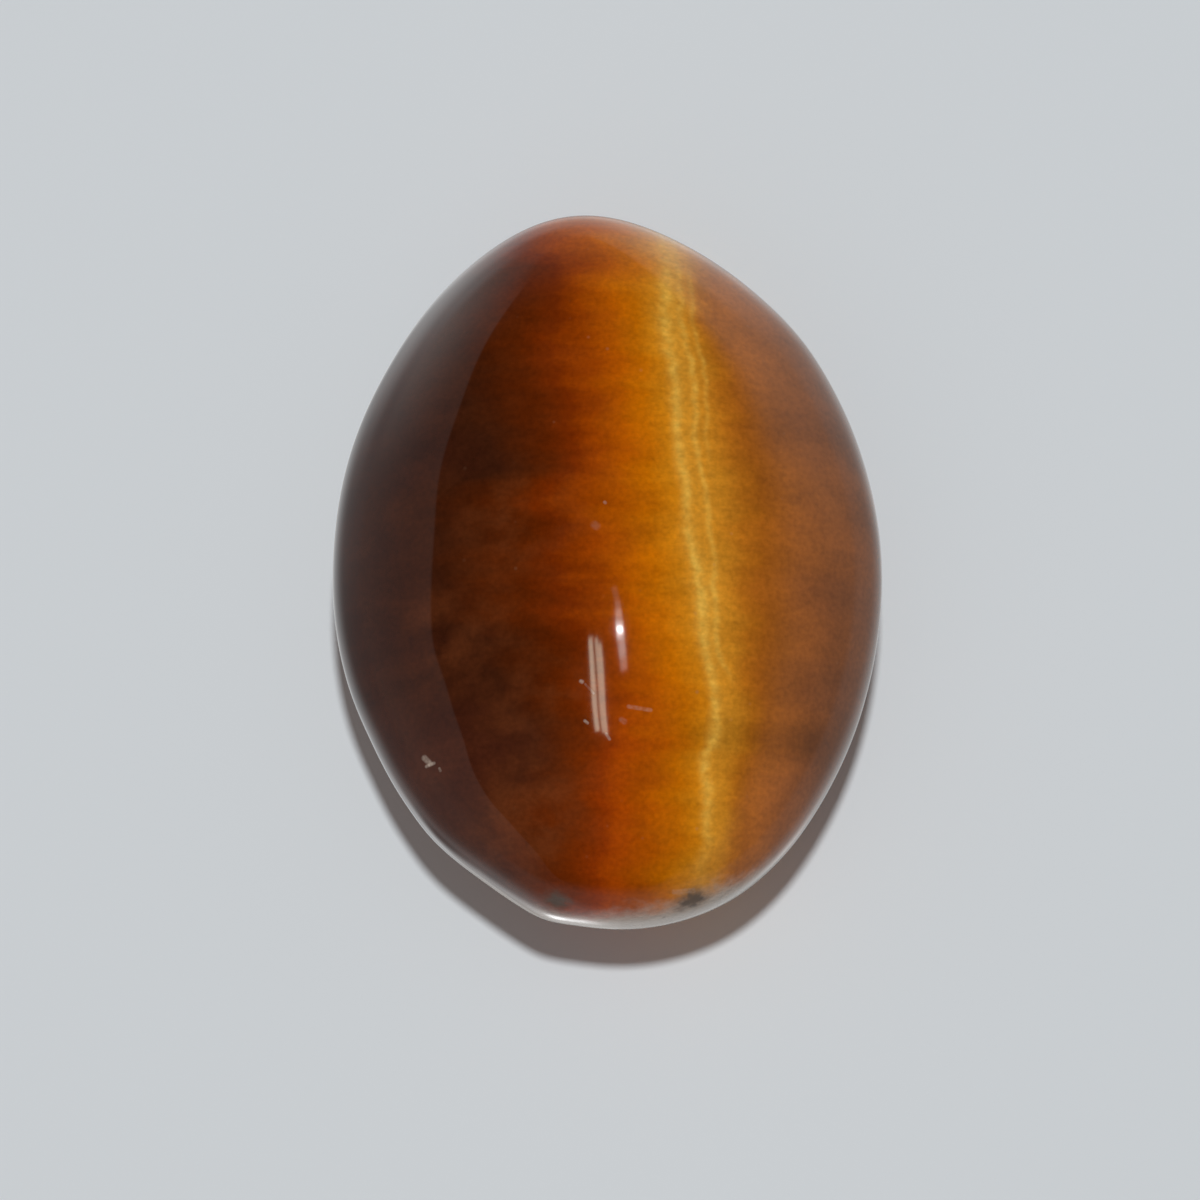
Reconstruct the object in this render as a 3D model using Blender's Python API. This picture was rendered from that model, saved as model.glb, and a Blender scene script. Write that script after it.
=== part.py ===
"""A polished tiger's eye: one oval stone, domed above and below, lying on a small ground flat.

The long axis runs along Y, with the narrow tip at +Y and the blunt end at -Y. X runs across the stone and Z is up.
The origin lies on the ground, under the middle of the footprint. All sizes are in metres.
"""
import math

import bmesh
import bpy
import numpy as np

# Driving sizes of the oval, which is cut to the common 16 x 12 mm
HALF_WIDTH = 0.00598        # from the axis to the widest outline, across
HALF_LENGTH = 0.00776       # from the axis to the widest outline, along, before the tip is added
WAIST_HEIGHT = 0.0033       # from the ground up to the widest outline
CROWN_HEIGHT = 0.0030       # from the widest outline up to the top
BELLY_DEPTH = 0.0036        # from the widest outline down to where the belly would close; the flat cuts it short

# What hand cutting left uneven
LEAN = math.radians(3.2)              # the long axis leans to -X at the tip
TIP_REACH = 0.00034                   # how far the narrow end stands out of the oval
TIP_DIRECTION = math.radians(96)
TIP_SPREAD = math.radians(15.6)
SHOULDER_REACH = 0.00004              # four low shoulders square the oval a little
SHOULDER_DIRECTION = math.radians(14.6)
BLUNT_FULLNESS = 0.0023               # how much the crown and belly are filled out towards the blunt end

# Fineness of the solid
FACES_AROUND = 90
CROWN_RINGS = 20
BELLY_RINGS = 12

# Finish: brown and gold, polished to a high gloss
STONE_COLOUR = (0.30, 0.095, 0.012, 1.0)
STONE_ROUGHNESS = 0.08
SHARP_EDGE = math.radians(15)


def clear_scene():
    """Removes whatever the scene holds at the start."""
    for thing in list(bpy.data.objects):
        bpy.data.objects.remove(thing, do_unlink=True)


def oval(angle):
    """Distance from the axis to the plain oval, an ellipse that leans by LEAN."""
    turned = angle - LEAN
    return 1 / np.hypot(np.cos(turned) / HALF_WIDTH, np.sin(turned) / HALF_LENGTH)


def unevenness(angle):
    """What the widest outline has beyond the plain oval: a soft tip at one end, and the low shoulders."""
    tip = TIP_REACH * np.exp(-((angle - TIP_DIRECTION) / TIP_SPREAD) ** 2)
    shoulders = SHOULDER_REACH * np.cos(4 * (angle - SHOULDER_DIRECTION))
    return tip + shoulders


def ring(turn, angle):
    """One level ring of the stone, as an array of points.

    turn goes from 0 at the top to a quarter turn at the widest outline, and on under the belly. The ring's spread
    is the sine of turn and its rise the cosine, so that each cut through the axis is a quarter of an ellipse. The
    unevenness grows with the cube of the spread, which leaves the top round. The blunt end is filled out halfway
    up the crown and halfway down the belly.
    """
    spread = math.sin(turn)
    rise = math.cos(turn)
    front = np.maximum(0, -np.sin(angle)) ** 3
    reach = spread * oval(angle) + spread ** 3 * unevenness(angle) + BLUNT_FULLNESS * front * (rise * spread) ** 2
    height = WAIST_HEIGHT + (CROWN_HEIGHT if rise > 0 else BELLY_DEPTH) * rise
    return np.stack([reach * np.cos(angle), reach * np.sin(angle), np.full_like(angle, height)], axis=1)


def stone_rings():
    """All rings from just under the top down to the edge of the ground flat, with the footprint centred."""
    angle = np.linspace(0, 2 * math.pi, FACES_AROUND, endpoint=False)
    quarter = math.pi / 2
    flat_turn = math.pi - math.acos(WAIST_HEIGHT / BELLY_DEPTH)
    crown_turns = np.linspace(0, quarter, CROWN_RINGS + 1)[1:]
    belly_turns = np.linspace(quarter, flat_turn, BELLY_RINGS + 1)[1:]
    rings = np.array([ring(turn, angle) for turn in (*crown_turns, *belly_turns)])
    widest = rings[CROWN_RINGS - 1]
    middle = (widest.min(axis=0) + widest.max(axis=0)) / 2
    rings[:, :, :2] -= middle[:2]
    rings[-1, :, 2] = 0.0
    return rings, middle


def skin_rings(bm, rings, top_point):
    """Joins the rings by bands of faces, and closes them with a fan at the top and one flat face on the ground."""
    loops = [[bm.verts.new(point) for point in points] for points in rings]
    top = bm.verts.new(top_point)
    for i in range(FACES_AROUND):
        after = (i + 1) % FACES_AROUND
        bm.faces.new((top, loops[0][i], loops[0][after]))
        for upper, lower in zip(loops[:-1], loops[1:]):
            bm.faces.new((upper[i], lower[i], lower[after], upper[after]))
    bm.faces.new(list(reversed(loops[-1])))
    bmesh.ops.recalc_face_normals(bm, faces=bm.faces)


def stone_material():
    """The stone's plain material."""
    material = bpy.data.materials.new("tigers_eye")
    material.use_nodes = True
    shader = material.node_tree.nodes["Principled BSDF"]
    shader.inputs["Base Color"].default_value = STONE_COLOUR
    shader.inputs["Roughness"].default_value = STONE_ROUGHNESS
    shader.inputs["Metallic"].default_value = 0.0
    return material


def make_stone():
    """The whole stone, one solid."""
    rings, middle = stone_rings()
    top_point = (-middle[0], -middle[1], WAIST_HEIGHT + CROWN_HEIGHT)
    bm = bmesh.new()
    skin_rings(bm, rings, top_point)
    mesh = bpy.data.meshes.new("tigers_eye_stone")
    bm.to_mesh(mesh)
    bm.free()
    mesh.shade_smooth()
    mesh.set_sharp_from_angle(angle=SHARP_EDGE)
    mesh.materials.append(stone_material())
    stone = bpy.data.objects.new("tigers_eye_stone", mesh)
    bpy.context.scene.collection.objects.link(stone)
    return stone


clear_scene()
make_stone()
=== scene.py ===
# %% [markdown]
# # A polished tiger's eye
#
# The stone is a tiger's eye of 16 x 12 mm, cut to an oval and polished all over. Its crown and its belly
# are both domed, and a golden silky band runs along its back, beside the middle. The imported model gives
# the plain solid at its real size. This lesson dresses it: a finer skin, the finish inside the stone, and
# the light that shows the polish.
#
# ## The frame
#
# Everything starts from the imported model, in metres, with Z up. The box of the solid is kept, because the
# finer skin made below has to stay inside it.

# %% Load the frame
import math

import bpy
import numpy as np
from mathutils import Matrix, Vector


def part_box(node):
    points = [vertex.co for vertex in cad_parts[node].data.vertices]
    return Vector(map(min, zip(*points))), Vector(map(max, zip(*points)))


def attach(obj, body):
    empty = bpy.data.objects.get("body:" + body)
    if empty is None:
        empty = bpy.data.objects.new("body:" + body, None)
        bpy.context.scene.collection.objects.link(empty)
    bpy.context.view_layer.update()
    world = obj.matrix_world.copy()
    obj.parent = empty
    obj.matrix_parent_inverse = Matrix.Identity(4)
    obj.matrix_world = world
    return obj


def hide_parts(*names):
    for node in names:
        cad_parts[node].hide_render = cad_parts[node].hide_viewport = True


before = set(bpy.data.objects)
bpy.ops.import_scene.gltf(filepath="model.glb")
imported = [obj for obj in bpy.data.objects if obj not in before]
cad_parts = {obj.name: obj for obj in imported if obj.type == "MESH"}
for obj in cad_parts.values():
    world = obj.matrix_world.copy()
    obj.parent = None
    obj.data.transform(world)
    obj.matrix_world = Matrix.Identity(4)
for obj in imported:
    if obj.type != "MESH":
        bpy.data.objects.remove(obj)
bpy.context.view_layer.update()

MM = 0.001
STONE_LOW, STONE_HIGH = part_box("tigers_eye_stone")
print("stone, mm:", [round((high - low) / MM, 2) for low, high in zip(STONE_LOW, STONE_HIGH)])

# %% [markdown]
# ## The camera
#
# The photograph looks down on the stone, a little from the front: the blunt end is nearer to the camera.
# How far the camera leans was found from the outline, which has to be that of the solid, and from where
# the polish mirrors the lamps. A long lens from 200 mm away gives the photograph's flat perspective.

# %% Place the camera
PHOTO_PIXELS = 1200
PIXELS_PER_MM = 45.875                       # at the height of the widest outline
CAMERA_LEAN = math.radians(12.5)             # away from straight down, towards the front
CAMERA_DISTANCE = 200 * MM
AIM_ASIDE, AIM_UP = -0.163 * MM, -0.544 * MM     # the photograph's middle, seen from the stone's axis
AXIS_POINT = Vector((0, -0.162 * MM, 3.4 * MM))  # where the stone's axis crosses its widest outline


def aimed_matrix(place, back, up):
    """The matrix of a thing at a place, whose own Z points along back and whose own Y points along up."""
    right = up.cross(back)
    turn = Matrix((right, up, back)).transposed()
    return Matrix.Translation(place) @ turn.to_4x4()


camera_back = Vector((0, -math.sin(CAMERA_LEAN), math.cos(CAMERA_LEAN)))
camera_up = Vector((0, math.cos(CAMERA_LEAN), math.sin(CAMERA_LEAN)))
aim = AXIS_POINT + Vector((AIM_ASIDE, 0, 0)) + camera_up * AIM_UP

camera = bpy.data.objects.new("camera", bpy.data.cameras.new("camera"))
bpy.context.scene.collection.objects.link(camera)
camera.matrix_world = aimed_matrix(aim + camera_back * CAMERA_DISTANCE, camera_back, camera_up)
camera.data.sensor_width = 36.0
camera.data.lens = camera.data.sensor_width * PIXELS_PER_MM * (CAMERA_DISTANCE / MM) / PHOTO_PIXELS
camera.data.clip_start = 0.01
camera.data.clip_end = 10.0
bpy.context.scene.camera = camera
bpy.context.scene.view_settings.view_transform = "Standard"
print("lens, mm:", round(camera.data.lens, 1))

# %% [markdown]
# ## Wiring shaders
#
# Each finish below is a small net of shader nodes. A few helpers keep the nets short: one adds a node and
# fills its sockets, where a value is either a number or another node's output, and the others name the
# sums used most.


# %% Helpers for shader nodes
def put(tree, kind, settings=None, **sockets):
    """Adds a shader node, sets its options, and fills its sockets by name, with underscores for spaces."""
    node = tree.nodes.new("ShaderNode" + kind)
    for name, value in (settings or {}).items():
        setattr(node, name, value)
    for name, value in sockets.items():
        fill(tree, node.inputs[name.replace("_", " ")], value)
    return node


def fill(tree, socket, value):
    """Gives a socket a plain value, or links another node's output to it."""
    if isinstance(value, bpy.types.NodeSocket):
        tree.links.new(value, socket)
    else:
        socket.default_value = value


def calc(tree, operation, *values):
    """One sum on numbers, such as ADD or MULTIPLY."""
    node = tree.nodes.new("ShaderNodeMath")
    node.operation = operation
    for socket, value in zip(node.inputs, values):
        fill(tree, socket, value)
    return node.outputs[0]


def total(tree, *values):
    """The sum of several values."""
    result = values[0]
    for value in values[1:]:
        result = calc(tree, "ADD", result, value)
    return result


def product(tree, *values):
    """The product of several values."""
    result = values[0]
    for value in values[1:]:
        result = calc(tree, "MULTIPLY", result, value)
    return result


def rise(tree, value, start, end, low=0.0, high=1.0):
    """Goes softly from low to high while value goes from start to end, and stays level outside."""
    flip = start > end
    if flip:
        start, end, low, high = end, start, high, low
    node = put(tree, "MapRange", {"interpolation_type": "SMOOTHSTEP"}, Value=value,
               From_Min=start, From_Max=end, To_Min=low, To_Max=high)
    return node.outputs["Result"]


def hump(tree, value, middle, width):
    """A bell curve: 1 where value is at the middle, falling to 0.37 one width away from it."""
    off = calc(tree, "MULTIPLY_ADD", value, 1 / width, -middle / width)
    return calc(tree, "POWER", math.exp(-1), calc(tree, "MULTIPLY", off, off))


def humps(tree, value, table):
    """Bell curves of one value, each told by its middle, its width and its strength."""
    return [product(tree, hump(tree, value, middle, width), strength) for middle, width, strength in table]


def between(tree, amount, low, high):
    """Goes from one number to another."""
    return calc(tree, "MULTIPLY_ADD", amount, calc(tree, "SUBTRACT", high, low), low)


def tint(tree, colour, amount, other):
    """Mixes a colour towards another one."""
    node = tree.nodes.new("ShaderNodeMix")
    node.data_type = "RGBA"
    fill(tree, node.inputs[0], amount)
    fill(tree, node.inputs[6], colour)
    fill(tree, node.inputs[7], other if isinstance(other, bpy.types.NodeSocket) else (*other, 1.0))
    return node.outputs[2]


def shine(tree, colour, factor):
    """Makes a colour brighter or darker by a factor."""
    return put(tree, "VectorMath", {"operation": "SCALE"}, Vector=colour, Scale=factor).outputs["Vector"]


# %% [markdown]
# ## The floor
#
# A plain pale floor, cool grey, with no gloss. It takes the shadow and lights the belly softly from
# below. The polish doesn't mirror it: what the polish sees below the horizon comes from the room, next,
# where it can be tuned.

# %% Lay the floor
FLOOR_SIZE = 3.0
FLOOR_GAP = 0.02 * MM
FLOOR_COLOUR = (0.728, 0.800, 0.850, 1.0)


def plain_floor():
    """One large square just under the stone."""
    half = FLOOR_SIZE / 2
    mesh = bpy.data.meshes.new("floor")
    mesh.from_pydata([(-half, -half, -FLOOR_GAP), (half, -half, -FLOOR_GAP), (half, half, -FLOOR_GAP),
                      (-half, half, -FLOOR_GAP)], [], [(0, 1, 2, 3)])
    material = bpy.data.materials.new("pale_floor")
    material.use_nodes = True
    shader = material.node_tree.nodes["Principled BSDF"]
    shader.inputs["Base Color"].default_value = FLOOR_COLOUR
    shader.inputs["Roughness"].default_value = 0.9
    shader.inputs["Specular IOR Level"].default_value = 0.0
    mesh.materials.append(material)
    floor = bpy.data.objects.new("floor", mesh)
    bpy.context.scene.collection.objects.link(floor)
    floor.visible_glossy = False


plain_floor()

# %% [markdown]
# ## The room
#
# A polished stone shows its surroundings, so they are made for it, told apart by direction alone: the
# angle from straight up, the angles to the side and along the stone, and the compass, which is 0 behind
# the stone and grows to the right. Above is a dark ceiling. The left wall starts with a sharp edge at 45
# degrees, which the polish shows as the fine arc on the stone's left. The right wall comes up softly. Low
# down behind, left and right of the middle, are two bright windows, which make the milky rim round the
# tip. The camera itself doesn't see the room but a plain pale backdrop, and what isn't mirrored gets only
# an even soft light from all sides.

# %% Directions in the room
BACKDROP_COLOUR = (0.575, 0.60, 0.62, 1.0)
ROOM_COLOUR = (1.0, 0.985, 0.97)
TABLE_COLOUR = (0.96, 0.985, 1.0)
SOFT_LIGHT_COLOUR = (0.072, 0.085, 0.094, 1.0)


def room_angles(tree):
    """The angles of a direction in degrees: from straight up, aside, along, and the compass."""
    direction = put(tree, "SeparateXYZ", Vector=put(tree, "TexCoord").outputs["Generated"]).outputs
    x, y, z = direction["X"], direction["Y"], direction["Z"]
    pairs = [(x, z), (y, z), (x, y)]
    aside, along, compass = [calc(tree, "DEGREES", calc(tree, "ARCTAN2", *pair)) for pair in pairs]
    return calc(tree, "DEGREES", calc(tree, "ARCCOSINE", z)), aside, along, compass


# %% [markdown]
# Each wall is a plain brightness with a few glows, which are brighter places. Both side walls dim towards
# the front, where the camera stands. Of walls that overlap, the brighter one counts.

# %% The walls
WALL_BRIGHTNESS = 0.27       # behind and in front
LEFT_BRIGHTNESS = 0.205
RIGHT_BRIGHTNESS = 0.22
LOW_BRIGHTNESS = 0.08        # what both sides gain towards the horizon
LEFT_GLOWS = [               # the angles from straight up between which it grows, compass, width, strength
    (54, 92, -43, 16, 0.70),
    (50, 90, -72, 22, 0.10),
]
RIGHT_GLOWS = [
    (44, 74, 40, 28, 0.40),
    (66, 92, 14, 14, 0.15),
    (80, 94, 23, 12, 0.52),
]


def glows(tree, up, compass, table):
    """The glows of a wall: each grows softly towards the horizon, round one compass direction."""
    return [product(tree, rise(tree, up, start, end), hump(tree, compass, middle, width), strength)
            for start, end, middle, width, strength in table]


def walls(tree, up, aside, along, compass):
    """How bright the room is above the horizon."""
    low = product(tree, rise(tree, up, 50, 90), LOW_BRIGHTNESS)
    sharp, soft = rise(tree, aside, -44.6, -45.6), rise(tree, aside, -38, -66)
    left_edge = between(tree, rise(tree, compass, -34, -12), sharp, soft)
    left = product(tree, left_edge, rise(tree, compass, -152, -126, 0.3, 1.0),
                   total(tree, LEFT_BRIGHTNESS, low, *glows(tree, up, compass, LEFT_GLOWS)))
    right = product(tree, rise(tree, aside, 37, 54), rise(tree, compass, 150, 112, 0.4, 1.0),
                    total(tree, RIGHT_BRIGHTNESS, low, *glows(tree, up, compass, RIGHT_GLOWS)))
    behind = product(tree, rise(tree, along, 52, 90), WALL_BRIGHTNESS)
    front = product(tree, rise(tree, along, -70, -95), WALL_BRIGHTNESS)
    sides = calc(tree, "MAXIMUM", left, right)
    return calc(tree, "MAXIMUM", sides, calc(tree, "MAXIMUM", behind, front))


# %% [markdown]
# Below the horizon the polish sees the table, which is itself a dull mirror. Far off it shows the two
# windows behind, with darker places just under the horizon, where the window sills would be. Close by it
# is bright by itself, most of all in front, under the lamps, and only right under the stone does it
# darken. One small bright spot, in front on the left, gives the white glint on the blunt end. All of it
# was tuned by comparing the rim of the stone with the photograph's, direction by direction.

# %% Below the horizon
FAR_BRIGHTNESS = 0.25
FAR_GLOWS = [                # compass, width and strength
    (-38, 17, 1.33), (-68, 20, 0.22), (-12, 16, 0.35), (17, 20, 0.95), (50, 14, 0.33), (84, 46, 0.25),
]
SILLS = [(-16, 14, -0.50), (-44, 16, -0.38), (8, 12, -0.30)]
NEAR_BRIGHTNESS = 0.34
NEAR_GLOWS = [(-42, 12, -0.95), (-92, 14, 0.15), (40, 45, -0.20)]
FRONT_BRIGHTNESS = 0.85
FRONT_LEFT = [(-158, 24, 0.32)]
FRONT_DIPS = [(-122, 13, -0.6), (150, 20, -0.24)]
GLINT_COMPASS = (-161, 8, 5.5)
GLINT_UP = (160, 6, 1.0)
STONE_SHADE = 0.20           # how much darker it is right under the stone
BACK_SHADE = 0.62            # and close behind it


def below_horizon(tree, up, compass):
    """How bright the polish sees the table: far off, close by, in front and the glint, less the shade."""
    sills = product(tree, total(tree, *humps(tree, compass, SILLS)), rise(tree, up, 112, 98))
    far = total(tree, FAR_BRIGHTNESS, *humps(tree, compass, FAR_GLOWS), sills)
    near = total(tree, NEAR_BRIGHTNESS, *humps(tree, compass, NEAR_GLOWS))
    near = product(tree, near, rise(tree, up, 116, 142))
    in_front = rise(tree, calc(tree, "ABSOLUTE", compass), 85, 115)
    front = total(tree, product(tree, in_front, rise(tree, up, 139, 160), FRONT_BRIGHTNESS),
                  product(tree, total(tree, *humps(tree, compass, FRONT_LEFT)), rise(tree, up, 104, 128)),
                  product(tree, total(tree, *humps(tree, compass, FRONT_DIPS)), rise(tree, up, 130, 150)))
    glint = product(tree, *humps(tree, compass, [GLINT_COMPASS]), *humps(tree, up, [GLINT_UP]))
    shade = total(tree, product(tree, rise(tree, up, 158, 172), STONE_SHADE),
                  product(tree, rise(tree, up, 130, 152), hump(tree, compass, 6, 35), BACK_SHADE))
    return product(tree, total(tree, far, near, front, glint), calc(tree, "SUBTRACT", 1.0, shade))


# %% Build the room
def soft_room():
    """The world: how bright it is in each direction."""
    world = bpy.data.worlds.new("soft_room")
    world.use_nodes = True
    tree = world.node_tree
    tree.nodes.clear()
    up, aside, along, compass = room_angles(tree)
    lower = rise(tree, up, 87, 97)
    above = shine(tree, ROOM_COLOUR, walls(tree, up, aside, along, compass))
    below = shine(tree, TABLE_COLOUR, below_horizon(tree, up, compass))
    mirrored = tint(tree, above, lower, below)
    rays = put(tree, "LightPath").outputs
    result = put(tree, "Background", Color=SOFT_LIGHT_COLOUR, Strength=1.0).outputs[0]
    for kind, colour in (("Is Camera Ray", BACKDROP_COLOUR), ("Is Glossy Ray", mirrored)):
        mix = put(tree, "MixShader", Fac=rays[kind])
        tree.links.new(result, mix.inputs[1])
        tree.links.new(put(tree, "Background", Color=colour, Strength=1.0).outputs[0], mix.inputs[2])
        result = mix.outputs[0]
    tree.links.new(result, put(tree, "OutputWorld").inputs["Surface"])
    world.cycles.sampling_method = "NONE"
    bpy.context.scene.world = world


soft_room()

# %% [markdown]
# ## The lamps
#
# One small strong lamp, almost overhead, gives the light and the shadow. Two large soft ones at the front
# left keep the shadow open: light that bounces round a room comes from everywhere, so most of it is given
# by a lamp that casts no shadow of its own. What the polish mirrors of the lamps is set apart from that,
# so that each can be tuned on its own: a white spark with a halo, three slim strokes beside it, and a
# faint glow that draws the spark out lengthwise. Each lamp is placed by direction: how far aside and how
# far along it stands for each metre up.

# %% Hang the lamps
LAMP_DISTANCE = 400 * MM
LAMP_COLOUR = (1.0, 0.985, 0.97)
FILL_COLOUR = (1.0, 0.69, 0.55)
STROKE_COLOUR = (1.0, 0.92, 0.71)
KEY_SLOPE, KEY_SPREAD = (0.008, 0.066), math.radians(4.0)
FILL_SLOPE, FILL_SPREAD = (-0.45, -0.60), math.radians(50)


def slope_point(slope):
    """The point at the lamps' distance in a direction given as slopes aside and along."""
    return Vector((*slope, 1)).normalized() * LAMP_DISTANCE


def lamp(name, start, end, width, radiance, colour=LAMP_COLOUR, mirrored=True, shadow=True):
    """A flat lamp that faces the stone, from start to end, each an (aside, along) slope.

    Its width is in radians, and with start and end at one place it is round. A flat lamp of power P and
    area A shines with a radiance of P / (4 A), which gives the power to set. A mirrored lamp shows in the
    polish only, and the others only light things.
    """
    first, last = slope_point(start), slope_point(end)
    middle = (first + last) / 2
    back = middle.normalized()
    breadth = width * LAMP_DISTANCE
    length = (last - first).length
    lengthwise = last - first if length else Vector((0, 1, 0))
    up = (lengthwise - back * lengthwise.dot(back)).normalized()
    data = bpy.data.lights.new(name, "AREA")
    data.shape = "RECTANGLE" if length else "DISK"
    data.size = breadth
    data.size_y = length or breadth
    area = breadth * length if length else math.pi / 4 * breadth ** 2
    data.energy = 4 * area * radiance
    data.color = colour
    data.use_shadow = shadow
    thing = bpy.data.objects.new(name, data)
    bpy.context.scene.collection.objects.link(thing)
    thing.matrix_world = aimed_matrix(AXIS_POINT + middle, back, up)
    thing.visible_camera = False
    thing.visible_glossy = mirrored
    thing.visible_diffuse = not mirrored
    print(name, "power, W:", round(data.energy, 4))


lamp("key_lamp", KEY_SLOPE, KEY_SLOPE, KEY_SPREAD, 398, mirrored=False)
lamp("soft_fill", FILL_SLOPE, FILL_SLOPE, FILL_SPREAD, 0.26, colour=FILL_COLOUR, mirrored=False)
lamp("even_fill", FILL_SLOPE, FILL_SLOPE, FILL_SPREAD, 1.06, colour=FILL_COLOUR, mirrored=False,
     shadow=False)
lamp("stroke_left", (-0.0652, 0.0275), (-0.0395, -0.1560), 0.0150, 5.2, colour=STROKE_COLOUR)
lamp("stroke_middle", (-0.0450, 0.0270), (-0.0185, -0.1600), 0.0100, 4.5, colour=STROKE_COLOUR)
lamp("stroke_right", (-0.0335, 0.0200), (-0.0075, -0.1640), 0.0100, 4.9, colour=STROKE_COLOUR)
lamp("spark", (0.0340, 0.0405), (0.0340, 0.0455), 0.018, 100)
lamp("spark_halo", (0.0345, 0.0260), (0.0335, 0.0600), 0.026, 5.0)
lamp("glow_above_1", (0.0325, 0.0625), (0.0318, 0.0810), 0.022, 3.0)
lamp("glow_above_2", (0.0318, 0.0810), (0.0290, 0.1000), 0.020, 1.2)
lamp("glow_above_3", (0.0160, 0.1360), (0.0290, 0.1000), 0.018, 0.45)
lamp("glow_below_1", (0.0400, 0.0030), (0.0360, 0.0235), 0.024, 3.6)
lamp("glow_below_2", (0.0440, -0.0180), (0.0400, 0.0030), 0.022, 1.9)

# %% [markdown]
# ## The form of the stone
#
# The solid is turned from quarter ellipses round an oval, which leans and has a soft tip. The same rule
# gives the finer skin, as one function of two parameters: turn runs from the top, over the widest
# outline, down to the flat that the stone lies on, and angle runs round. Cutting by hand leaves more: the
# outline is a few hundredths of a millimetre off here and there, three places lie a little low, and
# polishing leaves long shallow waves, a few thousandths of a millimetre deep. Nobody would see the waves
# but for the mirrored arc, which they make waver.

# %% The skin as a function of two parameters
HALF_WIDTH = 5.98 * MM
HALF_LENGTH = 7.76 * MM
WAIST_HEIGHT = 3.3 * MM
CROWN_HEIGHT = 3.0 * MM
BELLY_DEPTH = 3.6 * MM
LEAN = math.radians(3.2)
TIP_REACH = 0.34 * MM
TIP_DIRECTION = math.radians(96)
TIP_SPREAD = math.radians(15.6)
SHOULDER_REACH = 0.04 * MM
SHOULDER_DIRECTION = math.radians(14.6)
BLUNT_FULLNESS = 2.3 * MM
CUT_UNEVENLY = [             # direction and width in degrees, and height in mm
    (17, 12, -0.018), (50, 10, 0.042), (136, 12, -0.036), (158, 12, 0.024), (184, 7, 0.002),
    (215, 9, -0.042), (236, 5, 0.028), (248, 5, -0.035), (259.5, 4.5, 0.078), (292, 11, 0.07),
    (304, 7, 0.014),
]
LOW_PLACES = [               # where, how wide and how deep, in mm
    ((-3.05, -2.25, 5.6), 1.15, 0.036),
    ((-1.02, -7.55, 4.2), 0.30, 0.050),
    ((1.88, -7.32, 4.2), 0.36, 0.035),
]
WAVE_DEPTH = 0.004 * MM
SKIN_INSET = 0.012 * MM     # keeps the waves inside the solid's box


def oval(angle):
    """Distance from the axis to an ellipse that leans by LEAN."""
    turned = angle - LEAN
    return 1 / np.hypot(np.cos(turned) / HALF_WIDTH, np.sin(turned) / HALF_LENGTH)


def unevenness(angle):
    """What the widest outline has beyond the ellipse: a bell-shaped tip and four low shoulders."""
    tip = TIP_REACH * np.exp(-((angle - TIP_DIRECTION) / TIP_SPREAD) ** 2)
    return tip + SHOULDER_REACH * np.cos(4 * (angle - SHOULDER_DIRECTION))


def hand_cut(angle):
    """What the cutter's hand added to the outline or took off it: a sum of bell curves by direction."""
    degrees = np.degrees(angle) % 360
    return MM * sum(height * np.exp(-((degrees - middle) / width) ** 2)
                    for middle, width, height in CUT_UNEVENLY)


def low_places(x, y, z):
    """How deep the skin lies in the low places: each one's depth times a bell curve of the distance."""
    depth = 0
    for place, width, deep in LOW_PLACES:
        away = [value / MM - middle for value, middle in zip((x, y, z), place)]
        depth = depth + deep * np.exp(-(away[0] ** 2 + away[1] ** 2 + away[2] ** 2) / width ** 2)
    return MM * depth


def waves(x, y):
    """The shallow waves of hand polishing: the mean of three sine waves that cross each other."""
    x, y = x / MM, y / MM
    return WAVE_DEPTH * (np.sin(1.9 * y + 0.5 * x + 0.6) + np.sin(1.1 * x - 2.6 * y + 2.1)
                         + np.sin(1.7 * x + 0.9 * y + 4.0)) / 3


def stone_skin(turn, angle):
    """Points of the skin, as x, y and z arrays.

    The distance from the axis is sin(turn) times the oval, plus its cube times the unevenness and the
    hand cut, plus a fullness halfway up and down the blunt end. The height is the waist's, plus cos(turn)
    times the crown's height above the waist or the belly's depth below it. The waves and low places are
    taken off both.
    """
    spread = np.sin(turn)
    lift = np.cos(turn)
    front = np.maximum(0, -np.sin(angle)) ** 3
    reach = spread * oval(angle) + spread ** 3 * (unevenness(angle) + hand_cut(angle))
    reach = reach + BLUNT_FULLNESS * front * (lift * spread) ** 2
    height = WAIST_HEIGHT + np.where(lift > 0, CROWN_HEIGHT, BELLY_DEPTH) * lift
    x, y = reach * np.cos(angle), reach * np.sin(angle)
    dent = SKIN_INSET + waves(x, y) + low_places(AXIS_POINT.x + x, AXIS_POINT.y + y, height)
    reach = reach - dent * spread
    height = height - dent * np.maximum(0, lift)
    return AXIS_POINT.x + reach * np.cos(angle), AXIS_POINT.y + reach * np.sin(angle), height


# %% [markdown]
# ## From rings to a mesh
#
# The two parameters run over a grid, rings by angles, and all points come out of the function at once.
# The angles are closer together round the blunt end, where the rim has its small marks, and the belly's
# rings just below the widest outline, where the polish curves away from the camera and mirrors the whole
# room in a few pixels. Fans of triangles close the top and the flat, and the flat keeps a crisp edge
# because its faces are shaded flat.

# %% Make the fine stone
AROUND = 480
CROWN_RINGS = 120
BELLY_RINGS = 78
FRONT_CROWDING = 0.45


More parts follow.
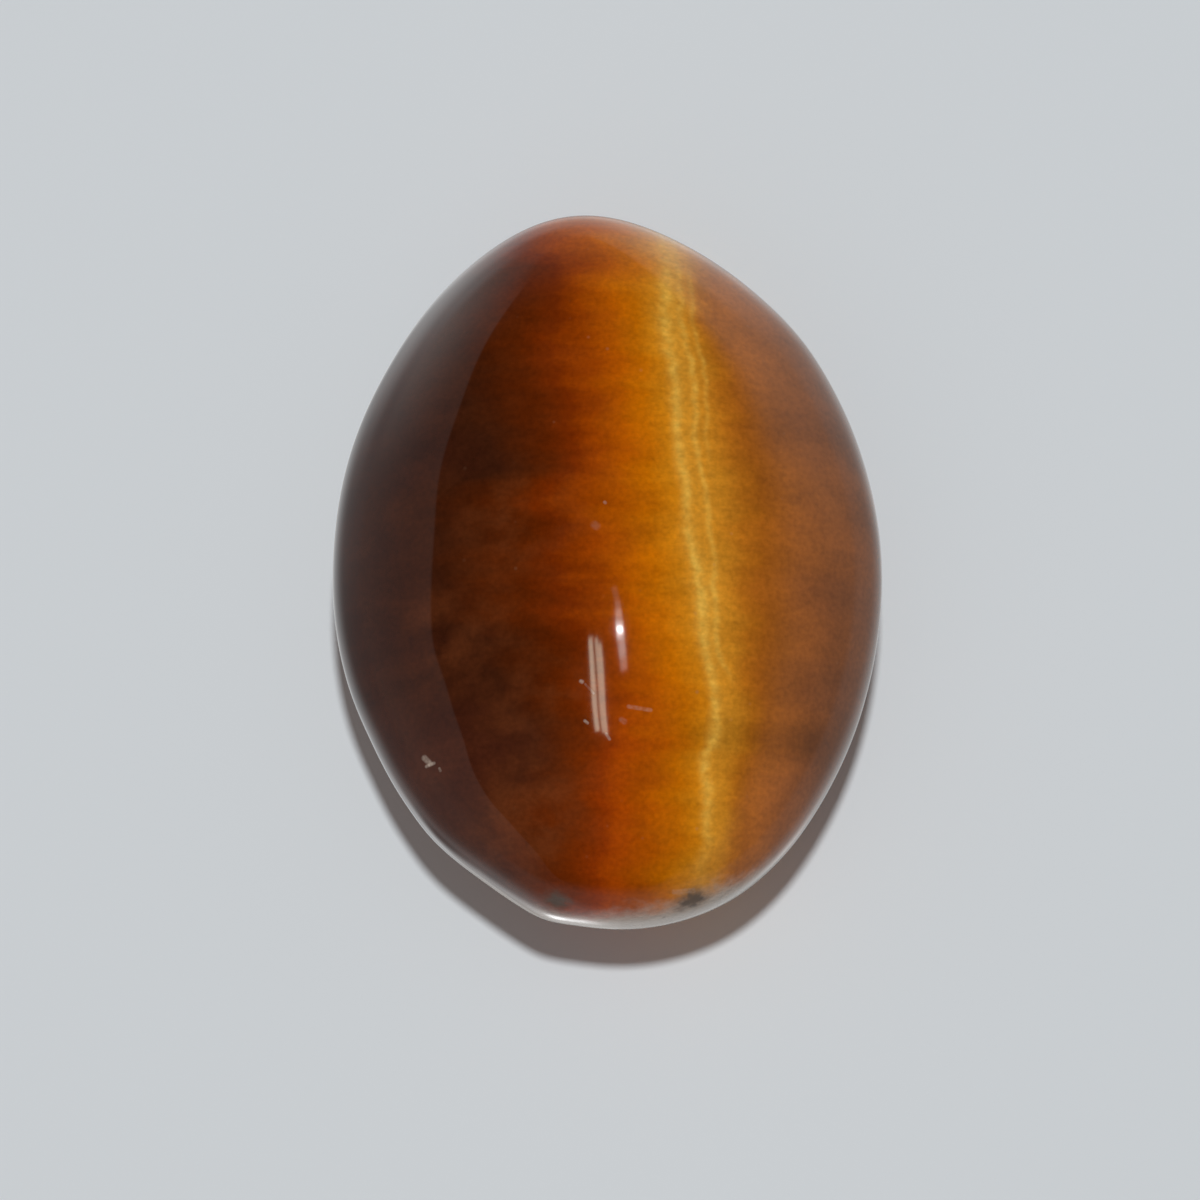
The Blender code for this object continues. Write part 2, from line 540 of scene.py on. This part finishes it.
def skin_grid():
    """All points of the skin, ring after ring from the top down: an array of rings by angles by three."""
    step = np.linspace(0, 2 * np.pi, AROUND, endpoint=False)
    angle = step + FRONT_CROWDING * np.cos(step)
    angle = (angle + np.pi / 2) % (2 * np.pi) - np.pi / 2
    flat_turn = np.pi - math.acos(WAIST_HEIGHT / BELLY_DEPTH)
    crown = np.linspace(0, np.pi / 2, CROWN_RINGS + 1)[1:]
    belly = np.pi / 2 + (flat_turn - np.pi / 2) * np.linspace(0, 1, BELLY_RINGS + 1)[1:] ** 2
    turn = np.concatenate([crown, belly])[:, None]
    points = np.stack(np.broadcast_arrays(*stone_skin(turn, angle[None, :])), axis=-1)
    points[-1, :, 2] = 0.0
    return points


def grid_faces(rings, around):
    """The quads between neighbouring rings: four point numbers each, counter-clockwise from outside."""
    first = np.arange(rings * around).reshape(rings, around)
    after = np.roll(first, -1, axis=1)
    return np.stack([first[:-1], first[1:], after[1:], after[:-1]], axis=-1).reshape(-1, 4)


def fine_stone():
    """The finer skin as one closed mesh object."""
    grid = skin_grid()
    rings, around = grid.shape[:2]
    top = (AXIS_POINT.x, AXIS_POINT.y, WAIST_HEIGHT + CROWN_HEIGHT - SKIN_INSET - float(waves(0.0, 0.0)))
    foot = (AXIS_POINT.x, AXIS_POINT.y, 0.0)
    points = np.vstack([grid.reshape(-1, 3), [top, foot]])
    ring = np.arange(around)
    after = np.roll(ring, -1)
    last = (rings - 1) * around
    top_fan = np.stack([np.full(around, len(points) - 2), ring, after], axis=-1)
    foot_fan = np.stack([np.full(around, len(points) - 1), after + last, ring + last], axis=-1)
    quads = grid_faces(rings, around)
    mesh = bpy.data.meshes.new("fine_stone")
    mesh.from_pydata(points.tolist(), [], quads.tolist() + top_fan.tolist() + foot_fan.tolist())
    smooth = np.ones(len(mesh.polygons), dtype=bool)
    smooth[-around:] = False
    mesh.polygons.foreach_set("use_smooth", smooth)
    mesh.validate()
    mesh.update()
    stone = bpy.data.objects.new("fine_stone", mesh)
    bpy.context.scene.collection.objects.link(stone)
    triangles = sum(len(polygon.vertices) - 2 for polygon in mesh.polygons)
    print("fine stone triangles:", triangles)
    return stone


stone = fine_stone()

# %% [markdown]
# ## What the stone is made of
#
# Tiger's eye is quartz that has grown through fine parallel fibres. They lie across this stone, along X,
# and where they face the light they throw it back in one golden band. That sheen is painted into the
# colours here, over the stone's own gold. Iron has stained the rest brown, from dark red brown on the
# left to a paler brown on the right. Two thin pale threads, which are places where the fibres bend,
# wander down the band.
#
# The finish is built like the stone: everything is told by the place inside it, in millimetres. A curve
# gives the course of the band from tip to blunt end, and colours follow the distance from that course.
# Because this works on Object coordinates, the pattern runs through the stone and looks right on the
# belly as well.

# %% Helpers for patterns
def level(tree, value, start, end, low=0.0, high=1.0):
    """Goes straight from low to high while value goes from start to end, and stays level outside."""
    node = put(tree, "MapRange", Value=value, From_Min=start, From_Max=end, To_Min=low, To_Max=high)
    return node.outputs["Result"]


def bend(tree, value, points):
    """A smooth curve through a few (value, result) points."""
    starts, results = zip(*points)
    low, high = min(results), max(results)
    node = put(tree, "FloatCurve", Value=level(tree, value, starts[0], starts[-1]))
    curve = node.mapping.curves[0]
    places = [((start - starts[0]) / (starts[-1] - starts[0]), (result - low) / (high - low))
              for start, result in points]
    curve.points[0].location, curve.points[1].location = places[0], places[-1]
    for place in places[1:-1]:
        curve.points.new(*place)
    node.mapping.update()
    return level(tree, node.outputs["Value"], 0.0, 1.0, low, high)


def colours(tree, value, stops):
    """Goes through a row of (value, colour) stops."""
    first, last = stops[0][0], stops[-1][0]
    node = put(tree, "ValToRGB", Fac=level(tree, value, first, last))
    elements = node.color_ramp.elements
    for _ in stops[2:]:
        elements.new(0.5)
    for element, (place, colour) in zip(elements, stops):
        element.position = (place - first) / (last - first)
        element.color = (*colour, 1.0)
    return node.outputs["Color"]


def grain(tree, place, per_mm, detail=1.5, seed=0.0):
    """Soft noise from about -1 to 1, with so many cells per millimetre along X, Y and Z."""
    spot = put(tree, "Mapping", Vector=place, Scale=per_mm, Location=(seed, seed * 1.7, seed * 2.3))
    noise = put(tree, "TexNoise", Vector=spot.outputs["Vector"], Scale=1.0, Detail=detail)
    return level(tree, noise.outputs["Fac"], 0.25, 0.75, -1.0, 1.0)


# %% [markdown]
# ## The course of the band
#
# The curves below were read from the photograph, at a few heights each, and turned into
# millimetres on the stone. The first is the main pale thread, which the whole band follows: it drifts to
# the right on its way down and jumps back a little at a crack near the blunt end. The second and third
# say how far the orange reaches to the left and the gold to the right.

# %% Follow the band
COURSE = [
    (-7.9, 1.9), (-7.05, 1.97), (-6.3, 2.13), (-5.5, 2.16), (-4.68, 2.07), (-4.42, 2.28), (-3.7, 2.31),
    (-3.0, 2.25), (-2.5, 2.13), (-1.1, 1.98), (0.2, 1.76), (1.2, 1.68), (2.0, 1.53), (3.8, 1.45),
    (4.8, 1.26), (6.5, 1.27), (7.9, 1.0),
]
LEFT_REACH = [
    (-7.9, 0.82), (-6.9, 0.85), (-6.2, 0.89), (-5.6, 0.86), (-5.0, 0.79), (-4.4, 0.76), (-3.8, 0.87),
    (-3.1, 0.94), (-2.2, 0.98), (-1.2, 1.11), (-0.5, 1.12), (0.1, 1.03), (0.8, 1.08), (1.5, 0.88),
    (2.1, 0.79), (2.8, 0.91), (3.6, 0.91), (4.9, 0.91), (5.7, 0.86), (6.2, 0.86), (6.5, 1.03),
    (7.2, 1.2), (7.9, 1.4),
]
RIGHT_REACH = [
    (-7.9, 0.75), (-6.0, 0.61), (-5.2, 0.65), (-4.4, 0.85), (-3.8, 0.85), (-3.2, 0.74), (-2.6, 0.85),
    (-1.8, 1.02), (-1.2, 0.95), (-0.5, 1.14), (0.2, 1.27), (1.2, 1.31), (2.1, 1.22), (2.9, 1.05),
    (3.6, 1.01), (4.2, 1.05), (4.9, 0.92), (5.7, 0.82), (7.9, 0.9),
]


def band_places(tree, place, x, y):
    """Distances from the main thread in mm: the true one, and the one that the colours go by.

    Both are x less the course. The second is stretched to the reach of the colours, and frayed along X.
    """
    wander = product(tree, grain(tree, place, (1.2, 2.2, 1.2), seed=3.1), 0.045)
    true = total(tree, x, product(tree, bend(tree, y, COURSE), -1.0), wander)
    left, right = bend(tree, y, LEFT_REACH), bend(tree, y, RIGHT_REACH)
    reach = between(tree, rise(tree, true, -0.2, 0.2), left, right)
    smear = grain(tree, place, (0.45, 1.6, 0.7), detail=4.0, seed=7.7)
    fray = product(tree, smear, rise(tree, true, -0.2, -1.8, 0.14, 0.42))
    return true, total(tree, calc(tree, "DIVIDE", true, reach), fray)


# %% [markdown]
# ## Colours across the stone
#
# From left to right: nearly black brown, dark red brown, rust, orange, gold, and beyond the band the
# paler brown. The steps are close together where the colour changes fast. These are the colours under the
# polish, so they look stronger here than in the picture. The gold is partly the stone's own colour and
# partly the band's sheen, painted in as colour.

# %% Colours by distance from the main thread
# The gold steps hold the band's painted sheen as well as the stone's own gold.
ACROSS = [
    (-6.6, (0.033, 0.0085, 0.0040)),
    (-5.1, (0.041, 0.0105, 0.0038)),
    (-4.3, (0.062, 0.0120, 0.0022)),
    (-3.4, (0.105, 0.0165, 0.0010)),
    (-2.7, (0.180, 0.0250, 0.0008)),
    (-2.1, (0.320, 0.0540, 0.0008)),
    (-1.4, (0.475, 0.1020, 0.0008)),
    (-0.75, (0.580, 0.1620, 0.0012)),
    (-0.28, (0.650, 0.2350, 0.0070)),
    (0.15, (0.680, 0.2950, 0.0230)),
    (0.55, (0.620, 0.2500, 0.0170)),
    (0.95, (0.470, 0.1550, 0.0100)),
    (1.3, (0.375, 0.1130, 0.0100)),
    (2.0, (0.300, 0.0910, 0.0130)),
    (2.7, (0.235, 0.0720, 0.0150)),
    (3.6, (0.185, 0.0600, 0.0170)),
]
CRACK_Y = -4.2     # in mm along the stone


def base_colours(tree, place, across, y):
    """The colours by distance from the thread, made brighter or darker by place, with soft patches."""
    colour = colours(tree, across, ACROSS)
    patches = grain(tree, place, (0.9, 1.3, 0.9), detail=4.0, seed=11.3)
    dark_side, pale_side = rise(tree, across, -1.6, -2.6), rise(tree, across, 1.0, 2.0)
    at_crack = product(tree, hump(tree, y, CRACK_Y, 0.4), rise(tree, across, -1.4, -0.4), -0.26)
    at_blunt_end = product(tree, rise(tree, y, -5.2, -7.9), -0.18)
    # Painted light: both sides are painted brighter towards the blunt end, to make up for the shading that
    # falls off there. On the pale side two soft humps along y lift the brown as well.
    painted_light_dark_side = product(tree, rise(tree, y, -2.8, -5.0), dark_side, 0.6)
    painted_light_and_tone_pale_side = total(tree, product(tree, rise(tree, y, -4.3, -5.4), 0.3),
                         *humps(tree, y, [(-0.6, 1.8, 0.12), (5.8, 1.2, 0.45)]))
    strength = total(tree, at_crack, at_blunt_end, painted_light_dark_side, product(tree, pale_side, painted_light_and_tone_pale_side),
                     product(tree, patches, between(tree, pale_side, 0.15, 0.22)))
    return shine(tree, colour, calc(tree, "ADD", strength, 1.0))


# %% [markdown]
# ## The threads
#
# Each pale thread is a bell curve across the distance from its own course. Small bright knots, as in
# woven silk, make it sparkle along its length. The second thread comes up to the first near the middle,
# and both fade at the ends. A third, fainter, shows only towards the tip. In two places a pale haze lies
# round them.

# %% Lay the threads
THREAD_COLOUR = (0.83, 0.49, 0.075)
SECOND_GAP = [(-7.9, 0.5), (-3.1, 0.46), (-2.4, 0.27), (-1.1, 0.31), (0.2, 0.45), (2.0, 0.39), (3.4, 0.41),
              (5.0, 0.36), (6.5, 0.26), (7.9, 0.2)]
HAZE = [(-1.2, 1.0, 0.28), (5.4, 1.6, 0.28)]     # where a pale haze lies round the first thread


def threads(tree, place, true, y):
    """How strong the pale threads are, from 0 to 1."""
    knots = product(tree, grain(tree, place, (4.0, 4.5, 4.0), detail=2.0, seed=5.3), 0.40)
    from_second = calc(tree, "SUBTRACT", true, bend(tree, y, SECOND_GAP))
    first = product(tree, hump(tree, true, 0.0, 0.115), rise(tree, y, 7.2, 2.6, 0.30, 0.80),
                    rise(tree, y, -7.4, -5.6))
    second = product(tree, hump(tree, from_second, 0.0, 0.075), rise(tree, y, -3.3, -2.4),
                     rise(tree, y, 7.2, 3.4, 0.2, 0.60))
    third = product(tree, hump(tree, from_second, 0.24, 0.06), rise(tree, y, 1.0, 3.0),
                    rise(tree, y, 6.8, 5.6), 0.35)
    haze = product(tree, hump(tree, true, 0.05, 0.30), total(tree, *humps(tree, y, HAZE)))
    return product(tree, total(tree, first, second, third, haze), calc(tree, "ADD", knots, 0.74))


# %% [markdown]
# ## Silk
#
# The fibres themselves are too fine to see one by one. What shows is a shimmer of short streaks along X,
# strongest in the gold, and a finer grain over all. Towards the tip the streaks slope a little, as the
# fibres fan out there.

# %% Spin the silk
def silk(tree, place, across, x, y):
    """A brightness factor near 1, from two sizes of streaks and a fine grain."""
    slope = product(tree, rise(tree, y, 1.5, 6.0, 0.03, 0.30), calc(tree, "SUBTRACT", x, 1.3))
    leaning = put(tree, "CombineXYZ", Y=slope).outputs["Vector"]
    laid = put(tree, "VectorMath", {"operation": "ADD"}, Vector=place)
    fill(tree, laid.inputs[1], leaning)
    laid = laid.outputs["Vector"]
    gold = calc(tree, "MULTIPLY_ADD", hump(tree, across, 0.2, 1.1), 0.75, 0.35)
    long_streaks = product(tree, grain(tree, laid, (1.0, 5.0, 2.5), detail=3.0, seed=2.2), 0.09)
    short_streaks = product(tree, grain(tree, laid, (4.5, 11.0, 5.0), detail=1.0, seed=8.8), 0.05)
    fine = product(tree, grain(tree, place, (9.0, 9.0, 9.0), detail=1.0, seed=4.4), 0.13)
    return total(tree, 1.0, product(tree, calc(tree, "ADD", long_streaks, short_streaks), gold), fine)


# %% [markdown]
# ## Clouds and specks
#
# The dark side isn't even: it holds milky clouds and tiny pale specks, which are crystals that caught no
# stain. The clouds are broad noise, cut off softly. The specks are the centres of cells of a Voronoi
# pattern, of which only a few are picked, and none far out on the left.

# %% Sprinkle clouds and specks
CLOUD_COLOUR = (0.155, 0.042, 0.012)
SPECK_COLOUR = (0.42, 0.22, 0.12)
SPECK_CELLS = 2.6          # cells per mm
SPECK_STRENGTH = 0.2
CLOUDS = [                 # where, how large in mm, and how strong
    ((-1.9, 0.5), 1.9, 0.40),
    ((-1.3, -3.7), 2.0, 0.55),
    ((-3.1, -2.0), 1.9, 0.35),
    ((-1.6, -5.9), 2.0, 0.55),
]


def spot(tree, flat, middle, size):
    """A round soft spot: 1 in the middle, falling to 0 at its size."""
    away = put(tree, "VectorMath", {"operation": "DISTANCE"}, Vector=flat)
    away.inputs[1].default_value = (*middle, 0)
    return rise(tree, away.outputs["Value"], size, 0.0)


def clouds(tree, place, flat):
    """How cloudy the stone is, from 0 to 1."""
    noise = rise(tree, grain(tree, place, (1.1, 1.4, 1.1), detail=3.0, seed=6.1), -0.7, 0.9)
    drifts = total(tree, *[product(tree, spot(tree, flat, middle, size), strength)
                           for middle, size, strength in CLOUDS])
    return product(tree, noise, calc(tree, "ADD", drifts, 0.10))


def specks(tree, place, x):
    """How much of a pale speck is here, from 0 to 1."""
    cells = put(tree, "TexVoronoi", Vector=place, Scale=SPECK_CELLS)
    picked = rise(tree, put(tree, "SeparateXYZ", Vector=cells.outputs["Color"]).outputs["X"], 0.72, 1.0)
    core = rise(tree, cells.outputs["Distance"], 0.16, 0.03)
    return product(tree, core, picked, rise(tree, x, -3.4, -2.4), SPECK_STRENGTH)


# %% [markdown]
# ## The blunt end
#
# At the blunt end the stone was never quite finished. A pale matt edge lies there, round the widest
# outline, with two small grey hollows and a pit above it. Each place is told by how far aside and how
# high it lies, and only on the front, where y is low. Noise frays the edges. How far the matt edge
# reaches down under the stone is a guess.

# %% Wear the blunt end
RIM_COLOUR = (0.49, 0.435, 0.38)
HOLLOW_COLOUR = (0.098, 0.080, 0.066)
LEFT_HOLLOW = (-1.08, 0.36, 4.29, 0.28, 1.0)      # middle and width aside, the same in height, strength
RIGHT_HOLLOW = (1.80, 0.48, 4.10, 0.38, 0.96)
PIT = (1.21, 0.06, 3.73, 0.06, 0.5)


def matt_rim(tree, place, x, y, z):
    """How matt the rim is, from 0 to 1: between two ragged heights. The upper one rises to the right."""
    ragged = product(tree, grain(tree, place, (4.0, 4.0, 4.0), detail=4.0, seed=9.2), 0.14)
    upper = total(tree, 3.38, rise(tree, x, -2.2, -1.2, 0.0, 0.30),
                  product(tree, rise(tree, x, -0.6, 0.4), rise(tree, x, 3.6, 2.2), 0.42), ragged)
    depth = calc(tree, "SUBTRACT", z, upper)
    lower = rise(tree, calc(tree, "SUBTRACT", z, ragged), 2.1, 2.85)
    return product(tree, rise(tree, depth, 0.45, -0.45), lower, rise(tree, y, -5.9, -7.0))


def hollows(tree, place, x, y, z):
    """How deep in one of the grey hollows or the pit, from 0 to 1, with ragged edges."""
    noise = grain(tree, place, (5.0, 5.0, 5.0), detail=3.0, seed=12.9)
    ragged = calc(tree, "MULTIPLY_ADD", noise, 0.42, 1.0)
    places = [product(tree, hump(tree, x, aside, width), hump(tree, z, high, height), strength)
              for aside, width, high, height, strength in (LEFT_HOLLOW, RIGHT_HOLLOW, PIT)]
    depth = rise(tree, product(tree, total(tree, *places), ragged), 0.2, 0.95, 0.0, 0.9)
    return product(tree, depth, rise(tree, y, -6.0, -6.8))


# %% [markdown]
# ## Scratches and painted reflections
#
# A few small pale marks lie on the polish: a pale three-cornered fleck on the left and some dashes near
# the top. Those close beside the mirrored strokes are painted reflections, and the fleck and the others
# are scratches. Each is a short line. The distance from a line is worked out as in school: go along it as
# far as the point's shadow falls, but not beyond its ends, and measure from there.

# %% Scratch the polish and paint small reflections
# The pale colour of the scratches also paints the small reflections beside the mirrored strokes.
SCRATCH_AND_REFLECTION_COLOUR = (0.60, 0.52, 0.44)
SCRATCHES_AND_REFLECTIONS = [       # start, end, width and strength
    ((-3.95, -4.52), (-3.82, -4.66), 0.075, 0.42),
    ((-3.90, -4.70), (-3.74, -4.66), 0.050, 0.36),
    ((-3.62, -4.78), (-3.60, -4.83), 0.040, 0.25),
    ((-0.57, -3.10), (-0.55, -3.11), 0.060, 0.45),
    ((-0.48, -3.16), (-0.30, -3.36), 0.035, 0.12),
    ((-0.49, -3.94), (-0.43, -3.99), 0.045, 0.38),
    ((0.45, -3.64), (0.92, -3.71), 0.060, 0.17),
    ((0.30, -3.92), (0.36, -3.96), 0.085, 0.10),
    ((-0.03, -4.22), (0.04, -4.33), 0.045, 0.30),
    ((-0.06, 0.80), (-0.05, 0.79), 0.050, 0.26),
    ((-0.28, 0.30), (-0.24, 0.27), 0.120, 0.08),
    ((1.42, -7.40), (1.86, -7.34), 0.060, 0.15),
]


def line_mark(tree, flat, start, end, width, strength):
    """How strong a mark from start to end is here: full on it, none one width away."""
    start, end = Vector((*start, 0)), Vector((*end, 0))
    line = end - start
    away = put(tree, "VectorMath", {"operation": "SUBTRACT"}, Vector=flat)
    away.inputs[1].default_value = start
    shadow = put(tree, "VectorMath", {"operation": "DOT_PRODUCT"}, Vector=away.outputs["Vector"])
    shadow.inputs[1].default_value = line
    share = level(tree, shadow.outputs["Value"], 0.0, line.length_squared)
    nearest = put(tree, "VectorMath", {"operation": "SCALE"}, Vector=line, Scale=share)
    distance = put(tree, "VectorMath", {"operation": "DISTANCE"}, Vector=away.outputs["Vector"])
    tree.links.new(nearest.outputs["Vector"], distance.inputs[1])
    return rise(tree, distance.outputs["Value"], 0.3 * width, width, strength, 0.0)


def scratches_and_reflections(tree, place, flat, z):
    """How strong the scratches and painted reflections on the crown are, from 0 to 1, broken up by a fine
    grain.
    """
    marks = total(tree, *[line_mark(tree, flat, *short_line) for short_line in SCRATCHES_AND_REFLECTIONS])
    noise = grain(tree, place, (14.0, 14.0, 14.0), detail=0.0, seed=2.9)
    broken = calc(tree, "MULTIPLY_ADD", noise, 0.35, 0.85)
    return product(tree, marks, broken, rise(tree, z, 3.5, 3.8))


# %% [markdown]
# ## The polish over it
#
# The colours lie under a clear coat, which is how Blender thinks of a smooth layer over a dull one. Its
# index of 1.54 is that of quartz. The dull layer gives no gloss of its own, so all that shines is the
# polish. On the matt rim the coat thins out, and a fine bump roughens it. It thins out towards the table
# as well: there a real polish would mirror the stone's own shadow, which the room doesn't know. A value
# that is the same all over is set on the shader itself, and one that varies is linked.

# %% Colour the stone
POLISH_IOR = 1.54
POLISH_ROUGHNESS = 0.045
INSIDE_ROUGHNESS = 0.5
MATT_ROUGHNESS = 0.75
MATT_COAT = 0.45
GROUND_COAT = 0.25
MATT_DEPTH = 0.01 * MM


def stone_colour(tree, place, flat, x, y):
    """All colours of the stone, laid over each other."""
    true, across = band_places(tree, place, x, y)
    colour = base_colours(tree, place, across, y)
    colour = tint(tree, colour, clouds(tree, place, flat), CLOUD_COLOUR)
    colour = tint(tree, colour, threads(tree, place, true, y), THREAD_COLOUR)
    colour = shine(tree, colour, silk(tree, place, across, x, y))
    return tint(tree, colour, specks(tree, place, x), SPECK_COLOUR)


def stone_finish():
    """The stone's material: colours, the matt rim with its marks, and the polish."""
    material = bpy.data.materials.new("tigers_eye")
    material.use_nodes = True
    tree = material.node_tree
    shader = tree.nodes["Principled BSDF"]
    place = shine(tree, put(tree, "TexCoord").outputs["Object"], 1 / MM)
    x, y, z = put(tree, "SeparateXYZ", Vector=place).outputs
    flat = put(tree, "CombineXYZ", X=x, Y=y).outputs["Vector"]
    rim, hollow = matt_rim(tree, place, x, y, z), hollows(tree, place, x, y, z)
    scratch_and_reflection_mask = scratches_and_reflections(tree, place, flat, z)
    colour = tint(tree, stone_colour(tree, place, flat, x, y), rim, RIM_COLOUR)
    # The scratch colour also paints small reflections close beside the mirrored strokes.
    for amount, other in ((hollow, HOLLOW_COLOUR), (scratch_and_reflection_mask, SCRATCH_AND_REFLECTION_COLOUR)):
        colour = tint(tree, colour, amount, other)
    matt = calc(tree, "MAXIMUM", rim, hollow)
    fill(tree, shader.inputs["Base Color"], colour)
    fill(tree, shader.inputs["Roughness"], level(tree, matt, 0.0, 1.0, INSIDE_ROUGHNESS, MATT_ROUGHNESS))
    coat = level(tree, matt, 0.0, 1.0, 1.0, MATT_COAT)
    coat = product(tree, coat, rise(tree, z, 0.6, 2.2, GROUND_COAT, 1.0))
    fill(tree, shader.inputs["Coat Weight"], coat)
    shader.inputs["Specular IOR Level"].default_value = 0.0
    shader.inputs["Coat Roughness"].default_value = POLISH_ROUGHNESS
    shader.inputs["Coat IOR"].default_value = POLISH_IOR
    uneven = product(tree, rise(tree, y, -6.0, -7.0), rise(tree, z, 4.6, 3.9),
                     grain(tree, place, (7.0, 7.0, 7.0), detail=2.0))
    bump = put(tree, "Bump", Height=uneven, Distance=MATT_DEPTH, Strength=1.0)
    fill(tree, shader.inputs["Normal"], bump.outputs["Normal"])
    return material


stone.data.materials.append(stone_finish())
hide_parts("tigers_eye_stone")
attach(stone, "root")
print("shader nodes:", len(stone.data.materials[0].node_tree.nodes))
